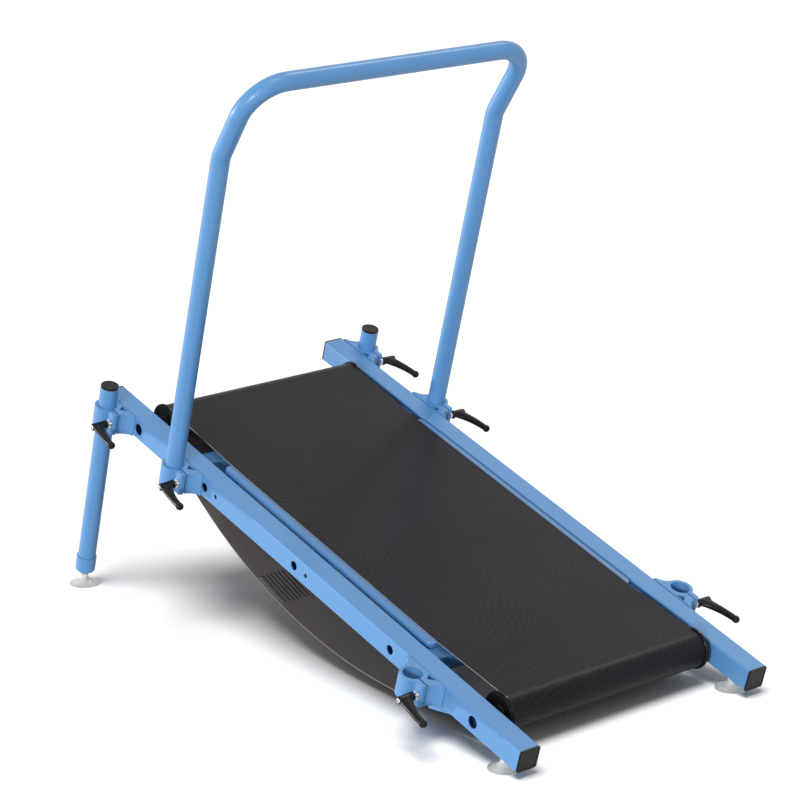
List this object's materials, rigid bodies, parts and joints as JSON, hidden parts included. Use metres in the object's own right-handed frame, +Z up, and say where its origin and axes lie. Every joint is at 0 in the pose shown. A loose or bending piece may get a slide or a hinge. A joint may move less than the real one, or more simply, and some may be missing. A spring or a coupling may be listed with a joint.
{
  "type": "pool treadmill",
  "caption": "Inclined treadmill for a pool: square side rails, an endless belt over a board, a bent tube handlebar, clamped legs and suction feet.",
  "frame": {"origin": "on the floor, under the middle of the whole treadmill's box", "axes": "+X across the treadmill to the user's right when facing uphill, +Y along it towards the high end with the handlebar and legs, +Z up"},
  "size_m": [0.8666, 1.4926, 1.2505],
  "materials": {
    "blue_paint": "smooth satin powder coat",
    "board_plastic": "smooth, the same blue as the frame",
    "black_plastic": "fine moulded grain",
    "belt_rubber": "matt, with a fine wavy diagonal rib",
    "belly_plastic": "smooth matt sheet",
    "steel": "bright zinc",
    "amber_stud": "satin",
    "clear_rubber": "clear milky soft plastic"
  },
  "bodies": {
    "frame": {"rail_left": "blue_paint", "rail_right": "blue_paint", "rail_cap_low_left": "black_plastic", "rail_cap_low_right": "black_plastic", "rail_cap_high_left": "black_plastic", "rail_cap_high_right": "black_plastic", "cross_tube_low": "blue_paint", "cross_tube_high": "blue_paint", "deck_bearer_1": "blue_paint", "deck_bearer_2": "blue_paint", "deck_bearer_3": "blue_paint", "deck_board": "board_plastic", "belly_sheet": "belly_plastic", "belly_hanger_low_left": "blue_paint", "belly_hanger_low_right": "blue_paint", "belly_hanger_high_left": "blue_paint", "belly_hanger_high_right": "blue_paint", "running_belt": "belt_rubber", "roller_axle_low": "steel", "roller_axle_high": "steel", "clamp_low_left": "blue_paint", "clamp_low_right": "blue_paint", "clamp_handle_left": "blue_paint", "clamp_handle_right": "blue_paint", "clamp_leg_left": "blue_paint", "clamp_leg_right": "blue_paint", "foot_stud_low_left": "amber_stud", "foot_stud_low_right": "amber_stud"},
    "low_roller": {"roller_low": "steel", "roller_flange_low_left": "black_plastic", "roller_flange_low_right": "black_plastic"},
    "high_roller": {"roller_high": "steel", "roller_flange_high_left": "black_plastic", "roller_flange_high_right": "black_plastic"},
    "handle": {"handlebar": "blue_paint"},
    "left_leg": {"leg_left": "blue_paint", "leg_cap_left": "black_plastic", "leg_sleeve_left": "blue_paint", "foot_stud_leg_left": "amber_stud"},
    "right_leg": {"leg_right": "blue_paint", "leg_cap_right": "black_plastic", "leg_sleeve_right": "blue_paint", "foot_stud_leg_right": "amber_stud"},
    "left_leg_cup": {"suction_cup_leg_left": "clear_rubber"},
    "left_low_cup": {"suction_cup_low_left": "clear_rubber"},
    "right_leg_cup": {"suction_cup_leg_right": "clear_rubber"},
    "right_low_cup": {"suction_cup_low_right": "clear_rubber"},
    "left_low_lever": {"clamp_lever_low_left": "black_plastic", "clamp_stud_low_left": "steel"},
    "right_low_lever": {"clamp_lever_low_right": "black_plastic", "clamp_stud_low_right": "steel"},
    "left_handle_lever": {"clamp_lever_handle_left": "black_plastic", "clamp_stud_handle_left": "steel"},
    "right_handle_lever": {"clamp_lever_handle_right": "black_plastic", "clamp_stud_handle_right": "steel"},
    "left_leg_lever": {"clamp_lever_leg_left": "black_plastic", "clamp_stud_leg_left": "steel"},
    "right_leg_lever": {"clamp_lever_leg_right": "black_plastic", "clamp_stud_leg_right": "steel"}
  },
  "joints": [
    {"name": "low_roller_spin", "type": "hinge", "parent": "frame", "child": "low_roller", "pos_m": [0, -0.60424, 0.07896], "axis": [1, 0, 0], "continuous": true},
    {"name": "high_roller_spin", "type": "hinge", "parent": "frame", "child": "high_roller", "pos_m": [0, 0.51547, 0.40426], "axis": [1, 0, 0], "continuous": true},
    {"name": "handlebar_height", "type": "slide", "parent": "frame", "child": "handle", "axis": [0, -0.279, 0.9603], "range_m": [-0.3, 0]},
    {"name": "left_leg_height", "type": "slide", "parent": "frame", "child": "left_leg", "axis": [0, -0.279, 0.9603], "range_m": [-0.045, 0.34]},
    {"name": "right_leg_height", "type": "slide", "parent": "frame", "child": "right_leg", "axis": [0, -0.279, 0.9603], "range_m": [-0.045, 0.34]},
    {"name": "left_leg_cup_swivel", "type": "hinge", "parent": "left_leg", "child": "left_leg_cup", "pos_m": [-0.364, 0.71133, 0.024], "axis": [1, 0, 0], "range_deg": [-20, 20]},
    {"name": "left_low_cup_swivel", "type": "hinge", "parent": "frame", "child": "left_low_cup", "pos_m": [-0.308, -0.67189, 0.024], "axis": [1, 0, 0], "range_deg": [-20, 20]},
    {"name": "right_leg_cup_swivel", "type": "hinge", "parent": "right_leg", "child": "right_leg_cup", "pos_m": [0.364, 0.71133, 0.024], "axis": [1, 0, 0], "range_deg": [-20, 20]},
    {"name": "right_low_cup_swivel", "type": "hinge", "parent": "frame", "child": "right_low_cup", "pos_m": [0.308, -0.67189, 0.024], "axis": [1, 0, 0], "range_deg": [-20, 20]},
    {"name": "left_low_lever_turn", "type": "hinge", "parent": "frame", "child": "left_low_lever", "pos_m": [-0.393, -0.49095, 0.11187], "axis": [-1, 0, 0], "range_deg": [0, 180]},
    {"name": "right_low_lever_turn", "type": "hinge", "parent": "frame", "child": "right_low_lever", "pos_m": [0.393, -0.49095, 0.11187], "axis": [1, 0, 0], "range_deg": [0, 180]},
    {"name": "left_handle_lever_turn", "type": "hinge", "parent": "frame", "child": "left_handle_lever", "pos_m": [-0.393, 0.30609, 0.34343], "axis": [-1, 0, 0], "range_deg": [0, 180]},
    {"name": "right_handle_lever_turn", "type": "hinge", "parent": "frame", "child": "right_handle_lever", "pos_m": [0.393, 0.30609, 0.34343], "axis": [1, 0, 0], "range_deg": [0, 180]},
    {"name": "left_leg_lever_turn", "type": "hinge", "parent": "frame", "child": "left_leg_lever", "pos_m": [-0.393, 0.55961, 0.41708], "axis": [-1, 0, 0], "range_deg": [0, 180]},
    {"name": "right_leg_lever_turn", "type": "hinge", "parent": "frame", "child": "right_leg_lever", "pos_m": [0.393, 0.55961, 0.41708], "axis": [1, 0, 0], "range_deg": [0, 180]}
  ],
  "couplings": [
    {"joint": "high_roller_spin", "follows": "low_roller_spin", "ratio": 1}
  ]
}
